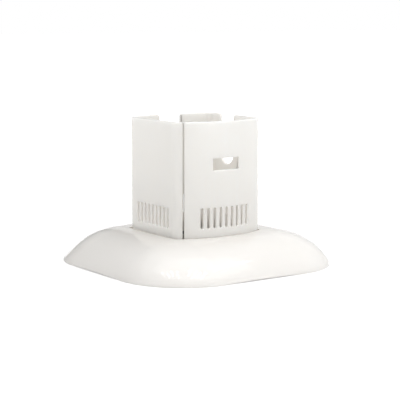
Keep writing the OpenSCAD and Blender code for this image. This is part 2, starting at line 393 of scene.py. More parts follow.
@dataclass
class Effects:
    """The shared node groups, built once."""

    wear: bpy.types.NodeTree = field(default_factory=edge_wear_group)
    skin: bpy.types.NodeTree = field(default_factory=moulded_skin_group)
    dust: bpy.types.NodeTree = field(default_factory=dust_group)
    grain: bpy.types.NodeTree = field(default_factory=grain_group)


Colour = tuple[float, float, float]


class Paint:
    """A material under construction around one Principled BSDF."""

    def __init__(self, name: str) -> None:
        """Make a material with a bare Principled BSDF."""
        self.material = bpy.data.materials.new(name)
        self.material.use_nodes = True
        self.nodes = self.material.node_tree.nodes
        self.links = self.material.node_tree.links
        self.shader = self.nodes["Principled BSDF"]

    def place(self, tree: bpy.types.NodeTree, **values: float) -> bpy.types.Node:
        """Place a shared effect with its own values, named with underscores for spaces."""
        node = self.nodes.new("ShaderNodeGroup")
        node.node_tree = tree
        for key, value in values.items():
            node.inputs[key.replace("_", " ")].default_value = value
        return node

    def blend(self, mask: bpy.types.NodeSocket, a: object, b: Colour) -> bpy.types.NodeSocket:
        """Mix two colours by a mask.

        Args:
            mask: Share of the second colour.
            a: First colour, a socket or a colour.
            b: Second colour.

        Returns:
            The socket of the mixed colour.
        """
        mix = self.nodes.new("ShaderNodeMix")
        mix.data_type = "RGBA"
        self.links.new(mask, mix.inputs["Factor"])
        if isinstance(a, bpy.types.NodeSocket):
            self.links.new(a, mix.inputs["A"])
        else:
            mix.inputs["A"].default_value = (*a, 1.0)
        mix.inputs["B"].default_value = (*b, 1.0)
        return mix.outputs["Result"]

    def vary(self, mask: bpy.types.NodeSocket, low: float, high: float) -> bpy.types.NodeSocket:
        """Turn a mask into a value between two ends."""
        span = self.nodes.new("ShaderNodeMapRange")
        self.links.new(mask, span.inputs["Value"])
        span.inputs["To Min"].default_value = low
        span.inputs["To Max"].default_value = high
        return span.outputs["Result"]

    def bump(self, height: bpy.types.NodeSocket, depth: float, strength: float) -> None:
        """Feed a height through a Bump node into the normal.

        Args:
            height: Socket of the height.
            depth: Distance that a height of 1 stands for, in metres.
            strength: Share of the bump that is used.
        """
        node = self.nodes.new("ShaderNodeBump")
        node.inputs["Distance"].default_value = depth
        node.inputs["Strength"].default_value = strength
        self.links.new(height, node.inputs["Height"])
        self.links.new(node.outputs["Normal"], self.shader.inputs["Normal"])

    def feed(self, name: str, socket: bpy.types.NodeSocket) -> None:
        """Link a socket to an input of the shader."""
        self.links.new(socket, self.shader.inputs[name])

    def fix(self, **values: object) -> None:
        """Set inputs of the shader that are the same all over."""
        for key, value in values.items():
            self.shader.inputs[key.replace("_", " ")].default_value = value


@dataclass(frozen=True)
class GlossyMoulding:
    """Polished opaque plastic, as it comes out of the mould."""

    name: str
    colour: Colour
    cloud: Colour
    rubbed: Colour
    gloss_low: float = 0.16
    gloss_high: float = 0.30
    wave_depth: float = 0.00003
    glow: float = 1.0

    def make(self, effects: Effects) -> bpy.types.Material:
        """Build the material."""
        paint = Paint(self.name)
        skin = paint.place(effects.skin)
        wear = paint.place(effects.wear)
        dust = paint.place(effects.dust)
        base = paint.blend(skin.outputs["Cloud"], self.colour, self.cloud)
        base = paint.blend(paint.vary(wear.outputs["Wear"], 0.0, 0.5), base, self.rubbed)
        base = paint.blend(paint.vary(dust.outputs["Dust"], 0.0, 0.05), base, (0.55, 0.52, 0.47))
        paint.feed("Base Color", base)
        paint.feed("Roughness", paint.vary(skin.outputs["Scuffs"], self.gloss_low, self.gloss_high))
        paint.bump(skin.outputs["Height"], self.wave_depth, 0.35)
        paint.fix(IOR=1.5, Coat_Weight=0.15, Coat_Roughness=0.06)
        paint.fix(Subsurface_Weight=self.glow, Subsurface_Scale=0.015, Subsurface_Radius=(1.0, 0.95, 0.9))
        return paint.material


@dataclass(frozen=True)
class SatinMoulding:
    """Plain inner moulding with a spark-eroded satin texture."""

    name: str
    colour: Colour
    worn: Colour
    roughness: float = 0.5

    def make(self, effects: Effects) -> bpy.types.Material:
        """Build the material."""
        paint = Paint(self.name)
        grain = paint.place(effects.grain, Grain_Scale=1600.0)
        wear = paint.place(effects.wear, Spread=0.05)
        base = paint.blend(paint.vary(grain.outputs["Blotch"], 0.0, 0.35), self.colour, self.worn)
        base = paint.blend(wear.outputs["Wear"], base, self.worn)
        paint.feed("Base Color", base)
        paint.feed("Roughness", paint.vary(grain.outputs["Grain"], self.roughness - 0.08, self.roughness + 0.12))
        paint.bump(grain.outputs["Grain"], 0.00006, 0.5)
        paint.fix(IOR=1.48)
        return paint.material


@dataclass(frozen=True)
class SoftRubber:
    """Matt rubber or closed-cell foam."""

    name: str
    colour: Colour
    bloom: Colour
    grain_scale: float
    grain_depth: float

    def make(self, effects: Effects) -> bpy.types.Material:
        """Build the material."""
        paint = Paint(self.name)
        grain = paint.place(effects.grain, Grain_Scale=self.grain_scale)
        dust = paint.place(effects.dust, Speck_Scale=900.0)
        base = paint.blend(paint.vary(grain.outputs["Blotch"], 0.0, 0.6), self.colour, self.bloom)
        base = paint.blend(dust.outputs["Dust"], base, self.bloom)
        paint.feed("Base Color", base)
        paint.feed("Roughness", paint.vary(grain.outputs["Grain"], 0.72, 0.95))
        paint.bump(grain.outputs["Grain"], self.grain_depth, 0.7)
        paint.fix(IOR=1.45, Specular_IOR_Level=0.35)
        return paint.material


@dataclass(frozen=True)
class TurnedMetal:
    """Turned or rolled metal with fine marks."""

    name: str
    colour: Colour
    stain: Colour
    roughness: float

    def make(self, effects: Effects) -> bpy.types.Material:
        """Build the material."""
        paint = Paint(self.name)
        grain = paint.place(effects.grain, Grain_Scale=2600.0)
        wear = paint.place(effects.wear, Spread=0.04)
        base = paint.blend(paint.vary(grain.outputs["Blotch"], 0.0, 0.7), self.colour, self.stain)
        base = paint.blend(wear.outputs["Wear"], base, self.colour)
        paint.feed("Base Color", base)
        paint.feed("Roughness", paint.vary(grain.outputs["Grain"], self.roughness - 0.08, self.roughness + 0.1))
        paint.bump(grain.outputs["Grain"], 0.00002, 0.4)
        paint.fix(Metallic=1.0)
        return paint.material


WARM_WHITE = (0.93, 0.872, 0.795)


@dataclass
class Finishes:
    """Every finish of the object, by what it is on."""

    effects: Effects = field(default_factory=Effects)

    def __post_init__(self) -> None:
        """Build the materials."""
        self.tower = GlossyMoulding(
            "tower_white", WARM_WHITE, (0.922, 0.862, 0.782), (0.93, 0.89, 0.83)
        ).make(self.effects)
        self.skirt = GlossyMoulding(
            "skirt_white", (0.86, 0.835, 0.80), (0.85, 0.823, 0.785), (0.87, 0.855, 0.83), 0.07, 0.14, glow=0.3
        ).make(self.effects)
        self.ring = SatinMoulding("ring_plastic", (0.60, 0.585, 0.55), (0.68, 0.66, 0.62)).make(self.effects)
        self.frame = SatinMoulding(
            "frame_plastic", (0.055, 0.056, 0.06), (0.13, 0.13, 0.135), 0.45
        ).make(self.effects)
        self.gasket = SoftRubber(
            "gasket_foam", (0.035, 0.035, 0.036), (0.07, 0.07, 0.07), 2400.0, 0.0002
        ).make(self.effects)
        self.pad = SoftRubber(
            "pad_rubber", (0.022, 0.022, 0.023), (0.06, 0.058, 0.055), 1400.0, 0.00006
        ).make(self.effects)
        self.steel = TurnedMetal("screw_steel", (0.62, 0.62, 0.62), (0.48, 0.47, 0.46), 0.28).make(self.effects)
        self.brass = TurnedMetal("insert_brass", (0.74, 0.55, 0.27), (0.55, 0.39, 0.18), 0.3).make(self.effects)


def dress(piece: bpy.types.Object, finish: bpy.types.Material, slot: str, *nodes: str) -> None:
    """Give a piece its finish and its body, and hide the CAD nodes that it stands for.

    Args:
        piece: The finished piece.
        finish: Its material.
        slot: Name of the record's material slot; not used.
        nodes: The CAD nodes it replaces, none for a CAD node itself.
    """
    piece.data.materials.clear()
    piece.data.materials.append(finish)
    if nodes:
        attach(piece, BODY)
        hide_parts(*nodes)
    LOG.info("%s: %s, %d faces before modifiers", piece.name, finish.name, len(piece.data.polygons))


# ---------------------------------------------------------------- the tower


@dataclass
class TowerPlan:
    """Plan of the tower: flat sides, crowned front and rear walls, rounded corners."""

    half: float = 50 * MM
    front_reach: float = 52.5 * MM
    front_crown: float = 13.2 * MM
    rear_reach: float = 51.6 * MM
    rear_crown: float = 8.3 * MM
    corner: float = 12.8 * MM

    def __post_init__(self) -> None:
        """Work out the arcs of the crowned walls and the centres of the corners."""
        self.front_r = self.arc_radius(self.front_crown)
        self.rear_r = self.arc_radius(self.rear_crown)
        self.front_cy = self.front_r - self.front_reach
        self.rear_cy = self.rear_reach - self.rear_r
        self.corner_x = self.half - self.corner
        self.front_y = self.front_cy - self.drop(self.front_r, self.corner, 0.0)
        self.rear_y = self.rear_cy + self.drop(self.rear_r, self.corner, 0.0)

    def arc_radius(self, crown: float) -> float:
        """Radius of a wall that bulges by crown between its corners."""
        return (self.half**2 + crown**2) / (2 * crown)

    def drop(self, wall: float, corner: float, grow: float) -> float:
        """Distance along Y from a wall's centre to the centre of a corner of the plan grown by grow."""
        return math.sqrt((wall + grow - corner) ** 2 - (self.half + grow - corner) ** 2)

    def trace(self, bm: bmesh.types.BMesh, grow: float, z: float, pitch: float) -> list[bmesh.types.BMEdge]:
        """Trace the plan, grown outwards, at one height.

        Args:
            bm: Takes the outline.
            grow: How far outside the tower's faces it runs.
            z: Its height.
            pitch: Width of the flats that the crowned walls are made of.

        Returns:
            The loop of edges.
        """
        front_half = math.atan2(self.corner_x, self.front_cy - self.front_y)
        rear_half = math.atan2(self.corner_x, self.rear_y - self.rear_cy)
        front_steps = 2 * round(front_half * self.front_r / pitch)
        rear_steps = 2 * round(rear_half * self.rear_r / pitch)
        reach = self.front_r + grow
        start = Vector((-reach * math.sin(front_half), self.front_cy - reach * math.cos(front_half), z))
        line = Outline.begin(bm, start)
        corner_steps = 10
        line.arc(0, self.front_cy, 2 * front_half, front_steps)
        line.arc(self.corner_x, self.front_y, math.pi / 2 - front_half, corner_steps)
        line.line_to(self.half + grow, self.rear_y)
        line.arc(self.corner_x, self.rear_y, math.pi / 2 - rear_half, corner_steps)
        line.arc(0, self.rear_cy, 2 * rear_half, rear_steps)
        line.arc(-self.corner_x, self.rear_y, math.pi / 2 - rear_half, corner_steps)
        line.line_to(-self.half - grow, self.front_y)
        line.arc(-self.corner_x, self.front_y, math.pi / 2 - front_half, corner_steps)
        return line.close()


@dataclass
class Notch:
    """A U-notch in the top edge of one wall."""

    wall: Wall
    offset: float
    width: float


@dataclass
class TowerShroud:
    """The open-top tower: one moulding with vent slots, a switch cut-out, two U-notches and a foot flange."""

    plan: TowerPlan
    thickness: float = 3.0 * MM
    flange_w: float = 15 * MM
    flange_t: float = 3.0 * MM
    slot_count: int = 9
    slot_pitch: float = 6.48 * MM
    slot_w: float = 3.1 * MM
    slot_bottom: float = 40.5 * MM
    slot_top: float = 60.3 * MM
    window_w: float = 30.2 * MM
    window_h: float = 11.4 * MM
    window_z: float = 101.3 * MM
    notch_bottom: float = 92 * MM
    notch_mouth: float = 3.0 * MM
    boss_hole: float = 4.4 * MM
    boss_out: float = 7.4 * MM
    notches: tuple[Notch, ...] = (
        Notch(Wall.RIGHT, 12.9 * MM, 21.9 * MM),
        Notch(Wall.REAR, -2.6 * MM, 24.4 * MM),
    )
    round_steps: int = 24

    def __post_init__(self) -> None:
        """Read the tower's foot and top from the frame."""
        low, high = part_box("tower_shroud")
        self.foot, self.top = low.z, high.z
        self.reach = self.plan.half + self.plan.front_reach

    def screw_spots(self) -> list[Vector]:
        """Where the clamp screws stand, on the diagonals of the four corners."""
        off = (self.plan.corner + self.boss_out) * math.cos(math.pi / 4)
        x = self.plan.corner_x + off
        front, rear = self.plan.front_y - off, self.plan.rear_y + off
        return [Vector((side * x, y, 0.0)) for y in (front, rear) for side in (1, -1)]

    def shell(self) -> bpy.types.Object:
        """Build the wall and its foot flange, with nothing cut yet."""
        bm = bmesh.new()
        section = (
            (0.0, self.top),
            (0.0, self.foot + self.flange_t),
            (self.flange_w, self.foot + self.flange_t),
            (self.flange_w, self.foot),
            (-self.thickness, self.foot),
            (-self.thickness, self.top),
        )
        loops = [self.plan.trace(bm, grow, z, self.slot_pitch / 2) for grow, z in section]
        for loop, following in zip(loops, loops[1:] + loops[:1]):
            bmesh.ops.bridge_loops(bm, edges=loop + following)
        close_up(bm)
        return new_piece(bm, "tower_wall")

    def prism(self, bm: bmesh.types.BMesh, outline: list[bmesh.types.BMEdge], wall: Wall) -> None:
        """Make a cutter that runs from the middle of the tower out through one wall.

        Args:
            bm: Holds the outline, in the plane Z = 0 with X along the wall and Y for height.
            outline: The closed outline.
            wall: The wall it cuts.
        """
        face = bmesh.ops.contextual_create(bm, geom=outline)["faces"]
        grown = bmesh.ops.extrude_face_region(bm, geom=face)["geom"]
        far = [g for g in grown if isinstance(g, bmesh.types.BMVert)]
        bmesh.ops.translate(bm, verts=far, vec=(0, 0, self.reach))
        verts = {v for e in outline for v in e.verts} | set(far)
        stand = Matrix.Rotation(math.radians(wall.value), 3, "Z") @ Matrix.Rotation(math.pi / 2, 3, "X")
        bmesh.ops.rotate(bm, verts=list(verts), cent=(0, 0, 0), matrix=stand)

    def slot_cutters(self) -> bpy.types.Object:
        """Cutters of the vent slots of all four walls."""
        bm = bmesh.new()
        r = self.slot_w / 2
        low, high = self.slot_bottom + r, self.slot_top - r
        for wall in Wall:
            for i in range(self.slot_count):
                x = (i - (self.slot_count - 1) / 2) * self.slot_pitch
                line = Outline.begin(bm, Vector((x - r, low, 0)))
                line.arc(x, low, math.pi, self.round_steps // 2)
                line.line_to(x + r, high)
                line.arc(x, high, math.pi, self.round_steps // 2)
                self.prism(bm, line.close(), wall)
        bmesh.ops.recalc_face_normals(bm, faces=bm.faces)
        return new_piece(bm, "slot_cutters")

    def window_cutter(self) -> bpy.types.Object:
        """Cutter of the rectangular switch cut-out."""
        bm = bmesh.new()
        made = bmesh.ops.create_cube(bm, size=1.0)["verts"]
        bmesh.ops.scale(bm, verts=made, vec=(self.window_w, self.reach, self.window_h))
        bmesh.ops.translate(bm, verts=made, vec=(0, -self.reach / 2, self.window_z))
        return new_piece(bm, "window_cutter")

    def notch_cutter(self, notch: Notch) -> bpy.types.Object:
        """Cutter of one U-notch, with its rounded mouth.

        Args:
            notch: Which wall it is in, how far along it and how wide.

        Returns:
            The cutter.
        """
        bm = bmesh.new()
        r, mouth, past = notch.width / 2, self.notch_mouth, 1 * MM
        x, low, brow = notch.offset, self.notch_bottom + r, self.top - mouth
        line = Outline.begin(bm, Vector((x - r, low, 0)))
        line.arc(x, low, math.pi, self.round_steps)
        line.line_to(x + r, brow)
        line.arc(x + r + mouth, brow, -math.pi / 2, self.round_steps // 4)
        line.line_to(x + r + mouth, self.top + past)
        line.line_to(x - r - mouth, self.top + past)
        line.line_to(x - r - mouth, self.top)
        line.arc(x - r - mouth, brow, -math.pi / 2, self.round_steps // 4)
        self.prism(bm, line.close(), notch.wall)
        bmesh.ops.recalc_face_normals(bm, faces=bm.faces)
        return new_piece(bm, "notch_cutter")

    def boss_cutters(self) -> bpy.types.Object:
        """Cutters of the holes in the foot flange through which the bosses stand."""
        bm = bmesh.new()
        spots = self.screw_spots()
        made = bmesh.ops.create_cone(
            bm, cap_ends=True, segments=48, radius1=self.boss_hole, radius2=self.boss_hole,
            depth=3 * self.flange_t,
        )["verts"]
        bmesh.ops.translate(bm, verts=made, vec=spots[0] + Vector((0, 0, self.foot + self.flange_t / 2)))
        copy_to(bm, spots)
        return new_piece(bm, "boss_cutters")

    def soften(self, piece: bpy.types.Object) -> None:
        """Round the edges: softly at the top and in the notches, crisply at slots and cut-out.

        Args:
            piece: The tower after all cuts.
        """
        mesh = piece.data
        bm = bmesh.new()
        bm.from_mesh(mesh)
        bmesh.ops.remove_doubles(bm, verts=bm.verts, dist=1e-6)
        bmesh.ops.dissolve_degenerate(bm, edges=bm.edges, dist=2e-6)
        layer = bm.edges.layers.float.new("bevel_weight_edge")
        for edge in bm.edges:
            if len(edge.link_faces) != 2 or edge.calc_face_angle(0.0) < math.radians(40):
                continue
            middle = (edge.verts[0].co + edge.verts[1].co) / 2
            in_notch = middle.z > self.notch_bottom - 1 * MM and (middle.x > 46 * MM or middle.y > 40 * MM)
            soft = middle.z > self.top - 1 * MM or in_notch
            edge[layer] = (Edge.SOFT if soft else Edge.CRISP).value
        bm.to_mesh(mesh)
        bm.free()
        mesh.shade_smooth()
        mesh.set_sharp_from_angle(angle=math.radians(35))
        bevel = piece.modifiers.new("rounding", "BEVEL")
        bevel.width = 1.0 * MM
        bevel.segments = 3
        bevel.limit_method = "WEIGHT"
        bevel.harden_normals = True
        bevel.use_clamp_overlap = False

    def build(self, finishes: Finishes) -> None:
        """Build and dress the tower.

        Args:
            finishes: The finishes of the object.
        """
        piece = self.shell()
        cut(piece, self.slot_cutters())
        cut(piece, self.window_cutter())
        for notch in self.notches:
            cut(piece, self.notch_cutter(notch))
        cut(piece, self.boss_cutters())
        self.soften(piece)
        dress(piece, finishes.tower, "tower_plastic", "tower_shroud")


# ---------------------------------------------------------------- the skirt


@dataclass(frozen=True)
class Fullness:
    """Shape of the dome's section: n rules it near the crown, m near the rim."""

    n: float
    m: float

    def height(self, share: float) -> float:
        """Height of the section, 0 at the rim and 1 at the crown, a share of the way in."""
        return (1 - (1 - share) ** self.n) ** (1 / self.m)


@dataclass
class Skirt:
    """The flared dome: one thin moulding, rounded square in plan, with an opening for the tower."""

    plan: TowerPlan
    corner: float = 68 * MM
    wall: float = 3.0 * MM
    land_t: float = 4.0 * MM
    lip: float = 1.0 * MM
    rim_arch: float = 0.8 * MM
    front: Fullness = Fullness(2.6, 1.375)
    rear: Fullness = Fullness(2.75, 0.9)
    blend_reach: float = 80 * MM
    opening_corner: float = 4.0 * MM
    opening_gap: float = 0.4 * MM
    land_reach: float = 20 * MM
    side_steps: int = 20
    corner_steps: int = 24
    dome_steps: int = 40

    def __post_init__(self) -> None:
        """Read the skirt's size from the frame."""
        low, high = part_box("skirt")
        self.half_x, self.half_y, self.crown = high.x, high.y, high.z
        self.quarter = self.side_steps + self.corner_steps
        self.open_x = self.plan.half + self.opening_gap - self.opening_corner
        self.open_front = self.plan.front_cy - self.plan.drop(
            self.plan.front_r, self.opening_corner, self.opening_gap)
        self.open_rear = self.plan.rear_cy + self.plan.drop(
            self.plan.rear_r, self.opening_corner, self.opening_gap)

    def place_on_way(self, i: int) -> tuple[int, float, float]:
        """Split a step of the way round into its quarter, its place along the side and round the corner.

        Args:
            i: Step of the way round.

        Returns:
            The quarter from 0 (front side and the corner after it) to 3, the place along its side
            from -1 to 1, and the share of its corner from 0 to 1.
        """
        quarter, k = divmod(i % (4 * self.quarter), self.quarter)
        if k < self.side_steps:
            return quarter, 2 * k / self.side_steps - 1, 0.0
        return quarter, 1.0, (k - self.side_steps) / self.corner_steps

    def rim_point(self, i: int, inset: float) -> Vector:
        """Point of the rim's plan, shrunk by inset."""
        quarter, along, share = self.place_on_way(i)
        cx, cy, r = self.half_x - self.corner, self.half_y - self.corner, self.corner - inset
        if quarter % 2:
            cx, cy = cy, cx
        a = share * math.pi / 2
        point = Vector((along * cx + r * math.sin(a), -cy - r * math.cos(a), 0.0))
        return Matrix.Rotation(quarter * math.pi / 2, 3, "Z") @ point

    def open_point(self, i: int) -> Vector:
        """Point of the opening's plan: the tower's plan grown by the gap, with tighter corners."""
        quarter, along, share = self.place_on_way(i)
        plan, r = self.plan, self.opening_corner
        front_turn = math.asin(self.open_x / (plan.front_r + self.opening_gap - r))
        rear_turn = math.asin(self.open_x / (plan.rear_r + self.opening_gap - r))
        on_side = share == 0 and i % self.quarter < self.side_steps
        if on_side and quarter == 0:
            a, reach = along * front_turn, plan.front_r + self.opening_gap
            return Vector((reach * math.sin(a), plan.front_cy - reach * math.cos(a), 0.0))
        if on_side and quarter == 2:
            a, reach = along * rear_turn, plan.rear_r + self.opening_gap
            return Vector((-reach * math.sin(a), plan.rear_cy + reach * math.cos(a), 0.0))
        if on_side:
            side = 1 if quarter == 1 else -1
            middle = (self.open_front + self.open_rear) / 2
            rise = (self.open_rear - self.open_front) / 2
            return Vector((side * (self.open_x + r), middle + side * along * rise, 0.0))
        starts = (front_turn, math.pi / 2, math.pi + rear_turn, 3 * math.pi / 2)
        ends = (math.pi / 2, math.pi - rear_turn, 3 * math.pi / 2, 2 * math.pi - front_turn)
        start, end = starts[quarter], ends[quarter]
        a = start + (end - start) * share
        cx = self.open_x if quarter in (0, 1) else -self.open_x
        cy = self.open_front if quarter in (0, 3) else self.open_rear
        return Vector((cx + r * math.sin(a), cy - r * math.cos(a), 0.0))

    def lift(self, i: int) -> float:
        """Arch of the rim off the floor: full in the middle of a side, none in the corners."""
        _, along, share = self.place_on_way(i)
        return self.rim_arch * (1 - along**2) if share == 0 else 0.0

    def dome_height(self, i: int, share: float) -> float:
        """Height of the outer face a share of the way from the rim to the opening."""
        w = min(1.0, max(0.0, 0.5 - self.rim_point(i, 0.0).y / (2 * self.blend_reach)))
        w = w * w * (3 - 2 * w)
        shape = Fullness(
            self.rear.n + (self.front.n - self.rear.n) * w,
            self.rear.m + (self.front.m - self.rear.m) * w,
        )
        arch = self.lift(i) * (1 - share) ** 2
        return self.lip + (self.crown - self.lip) * shape.height(share) + arch

    def face(self, bm: bmesh.types.BMesh, inset: float) -> list[bmesh.types.BMVert]:
        """Shape one face of the dome out of a flat grid, rim to opening.

        Args:
            bm: Takes the face.
            inset: How far inside the outer face it lies.

        Returns:
            Its vertices.
        """
        around, rows = 4 * self.quarter, self.dome_steps + 1
        grid = bmesh.ops.create_grid(bm, x_segments=around, y_segments=rows, size=1.0)["verts"]
        for vert in grid:
            i = round((vert.co.x + 1) / 2 * around)
            row = round((vert.co.y + 1) / 2 * rows)
            share = (max(row - 1, 0) / self.dome_steps) ** 1.6
            rim, opening = self.rim_point(i, inset), self.open_point(i)
            spot = rim.lerp(opening, share)
            if row == 0:
                spot.z = self.lift(i)
            elif inset == 0:
                spot.z = self.dome_height(i, share)
            else:
                flat = share >= 1 - self.land_reach / (opening - self.rim_point(i, 0.0)).length
                under = self.crown - self.land_t
                spot.z = under if flat else min(under, self.dome_height(i, share) - inset)
                spot.z = max(spot.z, self.lift(i))
            vert.co = spot
        return grid

    def build(self, finishes: Finishes) -> None:
        """Build and dress the skirt.

        Args:
            finishes: The finishes of the object.
        """
        bm = bmesh.new()
        self.face(bm, 0.0)
        self.face(bm, self.wall)
        bmesh.ops.remove_doubles(bm, verts=bm.verts, dist=1e-6)
        loops = [e for e in bm.edges if e.is_boundary]
        crown = [e for e in loops if e.verts[0].co.z > self.crown / 2]
        rim = [e for e in loops if e.verts[0].co.z <= self.crown / 2]
        bmesh.ops.bridge_loops(bm, edges=crown)
        bmesh.ops.bridge_loops(bm, edges=rim)
        close_up(bm)
        piece = new_piece(bm, "skirt_shell")
        round_edges(piece, 0.7 * MM, 3)
        dress(piece, finishes.skirt, "skirt_plastic", "skirt")


# ---------------------------------------------------------------- the parts under the skirt


def merged_copy(node: str, name: str) -> bpy.types.Object:
    """Copy a CAD node's mesh as a new piece with its loose triangles joined into clean faces.

    Args:
        node: Name of the CAD node.
        name: Name of the new piece.

    Returns:
        The new piece.
    """
    bm = bmesh.new()
    bm.from_mesh(bpy.data.objects[node].data)
    bmesh.ops.remove_doubles(bm, verts=bm.verts, dist=1e-6)
    bmesh.ops.dissolve_limit(
        bm, angle_limit=math.radians(1), verts=bm.verts, edges=bm.edges, use_dissolve_boundaries=False)
    return new_piece(bm, name)


@dataclass
class ClampParts:
    """What holds the tower under the skirt: boss ring, gasket, screws and washers."""

    spots: list[Vector]
    head_r: float = 3.4 * MM
    head_t: float = 2.2 * MM
    shank_r: float = 1.7 * MM
    thread_pitch: float = 1.3 * MM
    thread_depth: float = 0.35 * MM
    recess_w: float = 0.9 * MM
    recess_l: float = 4.0 * MM
    recess_d: float = 1.3 * MM
    washer_hole: float = 2.15 * MM

    def screws(self, finishes: Finishes) -> None:
        """Build the four pan-head screws, heads down, each with a cross recess and a coarse thread."""
        low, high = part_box("clamp_screws")
        bm = bmesh.new()
        r, t = self.head_r, self.head_t
        seat = low.z + t
        head = [
            (0.0, low.z), (0.55 * r, low.z), (0.82 * r, low.z + 0.1 * t), (0.95 * r, low.z + 0.3 * t),
            (r, low.z + 0.62 * t), (r, seat), (self.shank_r - self.thread_depth, seat),
        ]
        core = self.shank_r - self.thread_depth
        turns = int((high.z - seat - 1.5 * MM) / self.thread_pitch)
        for i in range(turns):
            z = seat + 0.8 * MM + i * self.thread_pitch
            head += [(core, z), (self.shank_r, z + 0.4 * self.thread_pitch), (core, z + 0.6 * self.thread_pitch)]
        head += [(core, high.z - 0.8 * MM), (0.35 * core, high.z), (0.0, high.z)]
        spun(bm, head, 32)
        close_up(bm)
        bmesh.ops.translate(bm, verts=bm.verts, vec=self.spots[0])
        piece = new_piece(bm, "pan_screws", 25.0)
        knife = bmesh.new()
        for turn in (0.0, math.pi / 2):
            bar = bmesh.ops.create_cube(knife, size=1.0)["verts"]
            bmesh.ops.scale(knife, verts=bar, vec=(self.recess_l, self.recess_w, 2 * self.recess_d))
            bmesh.ops.rotate(knife, verts=bar, cent=(0, 0, 0), matrix=Matrix.Rotation(turn, 3, "Z"))
            bmesh.ops.translate(knife, verts=bar, vec=self.spots[0] + Vector((0, 0, low.z)))
        cut(piece, new_piece(knife, "recess_cutter"))
        bm = bmesh.new()
        bm.from_mesh(piece.data)
        copy_to(bm, self.spots)
        bm.to_mesh(piece.data)
        bm.free()
        piece.data.set_sharp_from_angle(angle=math.radians(25))
        dress(piece, finishes.steel, "screw_steel", "clamp_screws")

    def washers(self, finishes: Finishes) -> None:
        """Build the four washers with their punched, slightly rounded edges."""
        low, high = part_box("clamp_washers")
        outer = (high.x - low.x) / 2 - abs(self.spots[0].x)
        bm = bmesh.new()
        section = [(self.washer_hole, low.z), (outer, low.z), (outer, high.z), (self.washer_hole, high.z)]
        spun(bm, section + section[:1], 48)
        close_up(bm)
        bmesh.ops.translate(bm, verts=bm.verts, vec=self.spots[0])
        copy_to(bm, self.spots)
        piece = new_piece(bm, "plain_washers")
        round_edges(piece, 0.12 * MM, 2)
        dress(piece, finishes.steel, "screw_steel", "clamp_washers")

    def build(self, finishes: Finishes) -> None:
        """Build and dress the clamping parts.

        Args:
            finishes: The finishes of the object.
        """
        self.screws(finishes)
        self.washers(finishes)
        ring = merged_copy("boss_ring", "moulded_boss_ring")
        round_edges(ring, 0.3 * MM, 2)
        dress(ring, finishes.ring, "ring_plastic", "boss_ring")
        gasket = merged_copy("flange_gasket", "foam_gasket")
        round_edges(gasket, 0.2 * MM, 2)
        dress(gasket, finishes.gasket, "gasket_foam", "flange_gasket")


@dataclass
class Footing:
    """What stands on the deck: the frame with its legs, the threaded inserts and the pads."""

    bolt_x: float = 136 * MM
    bolt_y: float = 140 * MM
    thread_r: float = 2.1 * MM
    thread_pitch: float = 0.8 * MM
    pad_hole: float = 3.9 * MM
    groove_w: float = 0.7 * MM
    groove_d: float = 0.4 * MM

    def spots(self) -> list[Vector]:
        """The four deck bolts."""
        return [Vector((x * self.bolt_x / 2, y * self.bolt_y / 2, 0)) for y in (-1, 1) for x in (1, -1)]

    def inserts(self, finishes: Finishes) -> None:
        """Build the brass inserts, threaded inside and chamfered at the mouth."""
        low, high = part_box("deck_inserts")
        outer = high.x - self.bolt_x / 2
        bm = bmesh.new()
        section = [(outer, low.z), (outer, high.z), (self.thread_r + self.thread_pitch / 2, high.z)]
        turns = int((high.z - low.z - 1 * MM) / self.thread_pitch)
        for i in range(turns):
            z = high.z - 0.5 * MM - i * self.thread_pitch
            section += [(self.thread_r, z), (self.thread_r + self.thread_pitch / 2, z - self.thread_pitch / 2)]
        section += [(self.thread_r, low.z + 0.6 * MM), (self.thread_r + 0.6 * MM, low.z), section[0]]
        spun(bm, section, 40)
        close_up(bm)
        bmesh.ops.translate(bm, verts=bm.verts, vec=self.spots()[0])
        copy_to(bm, self.spots())
        dress(new_piece(bm, "brass_inserts", 20.0), finishes.brass, "insert_brass", "deck_inserts")

    def pads(self, finishes: Finishes) -> None:
        """Build the rubber pads, grooved underneath."""
        low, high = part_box("foot_pads")
        outer = high.x - self.bolt_x / 2
        bm = bmesh.new()
        section = [(self.pad_hole, low.z)]
        for share in (0.3, 0.65):
            r = self.pad_hole + share * (outer - self.pad_hole)
            section += [(r, low.z), (r, low.z + self.groove_d)]
            section += [(r + self.groove_w, low.z + self.groove_d), (r + self.groove_w, low.z)]
        section += [(outer, low.z), (outer, high.z), (self.pad_hole, high.z), section[0]]
        spun(bm, section, 56)
        close_up(bm)
        bmesh.ops.translate(bm, verts=bm.verts, vec=self.spots()[0])
        copy_to(bm, self.spots())
        piece = new_piece(bm, "rubber_pads")
        round_edges(piece, 0.2 * MM, 2)
        dress(piece, finishes.pad, "pad_rubber", "foot_pads")

    def build(self, finishes: Finishes) -> None:
        """Build and dress the footing.

        Args:
            finishes: The finishes of the object.
        """
        frame = merged_copy("mounting_frame", "leg_frame")
        round_edges(frame, 0.5 * MM, 2)
        dress(frame, finishes.frame, "frame_plastic", "mounting_frame")
        self.inserts(finishes)
        self.pads(finishes)


# ---------------------------------------------------------------- the studio


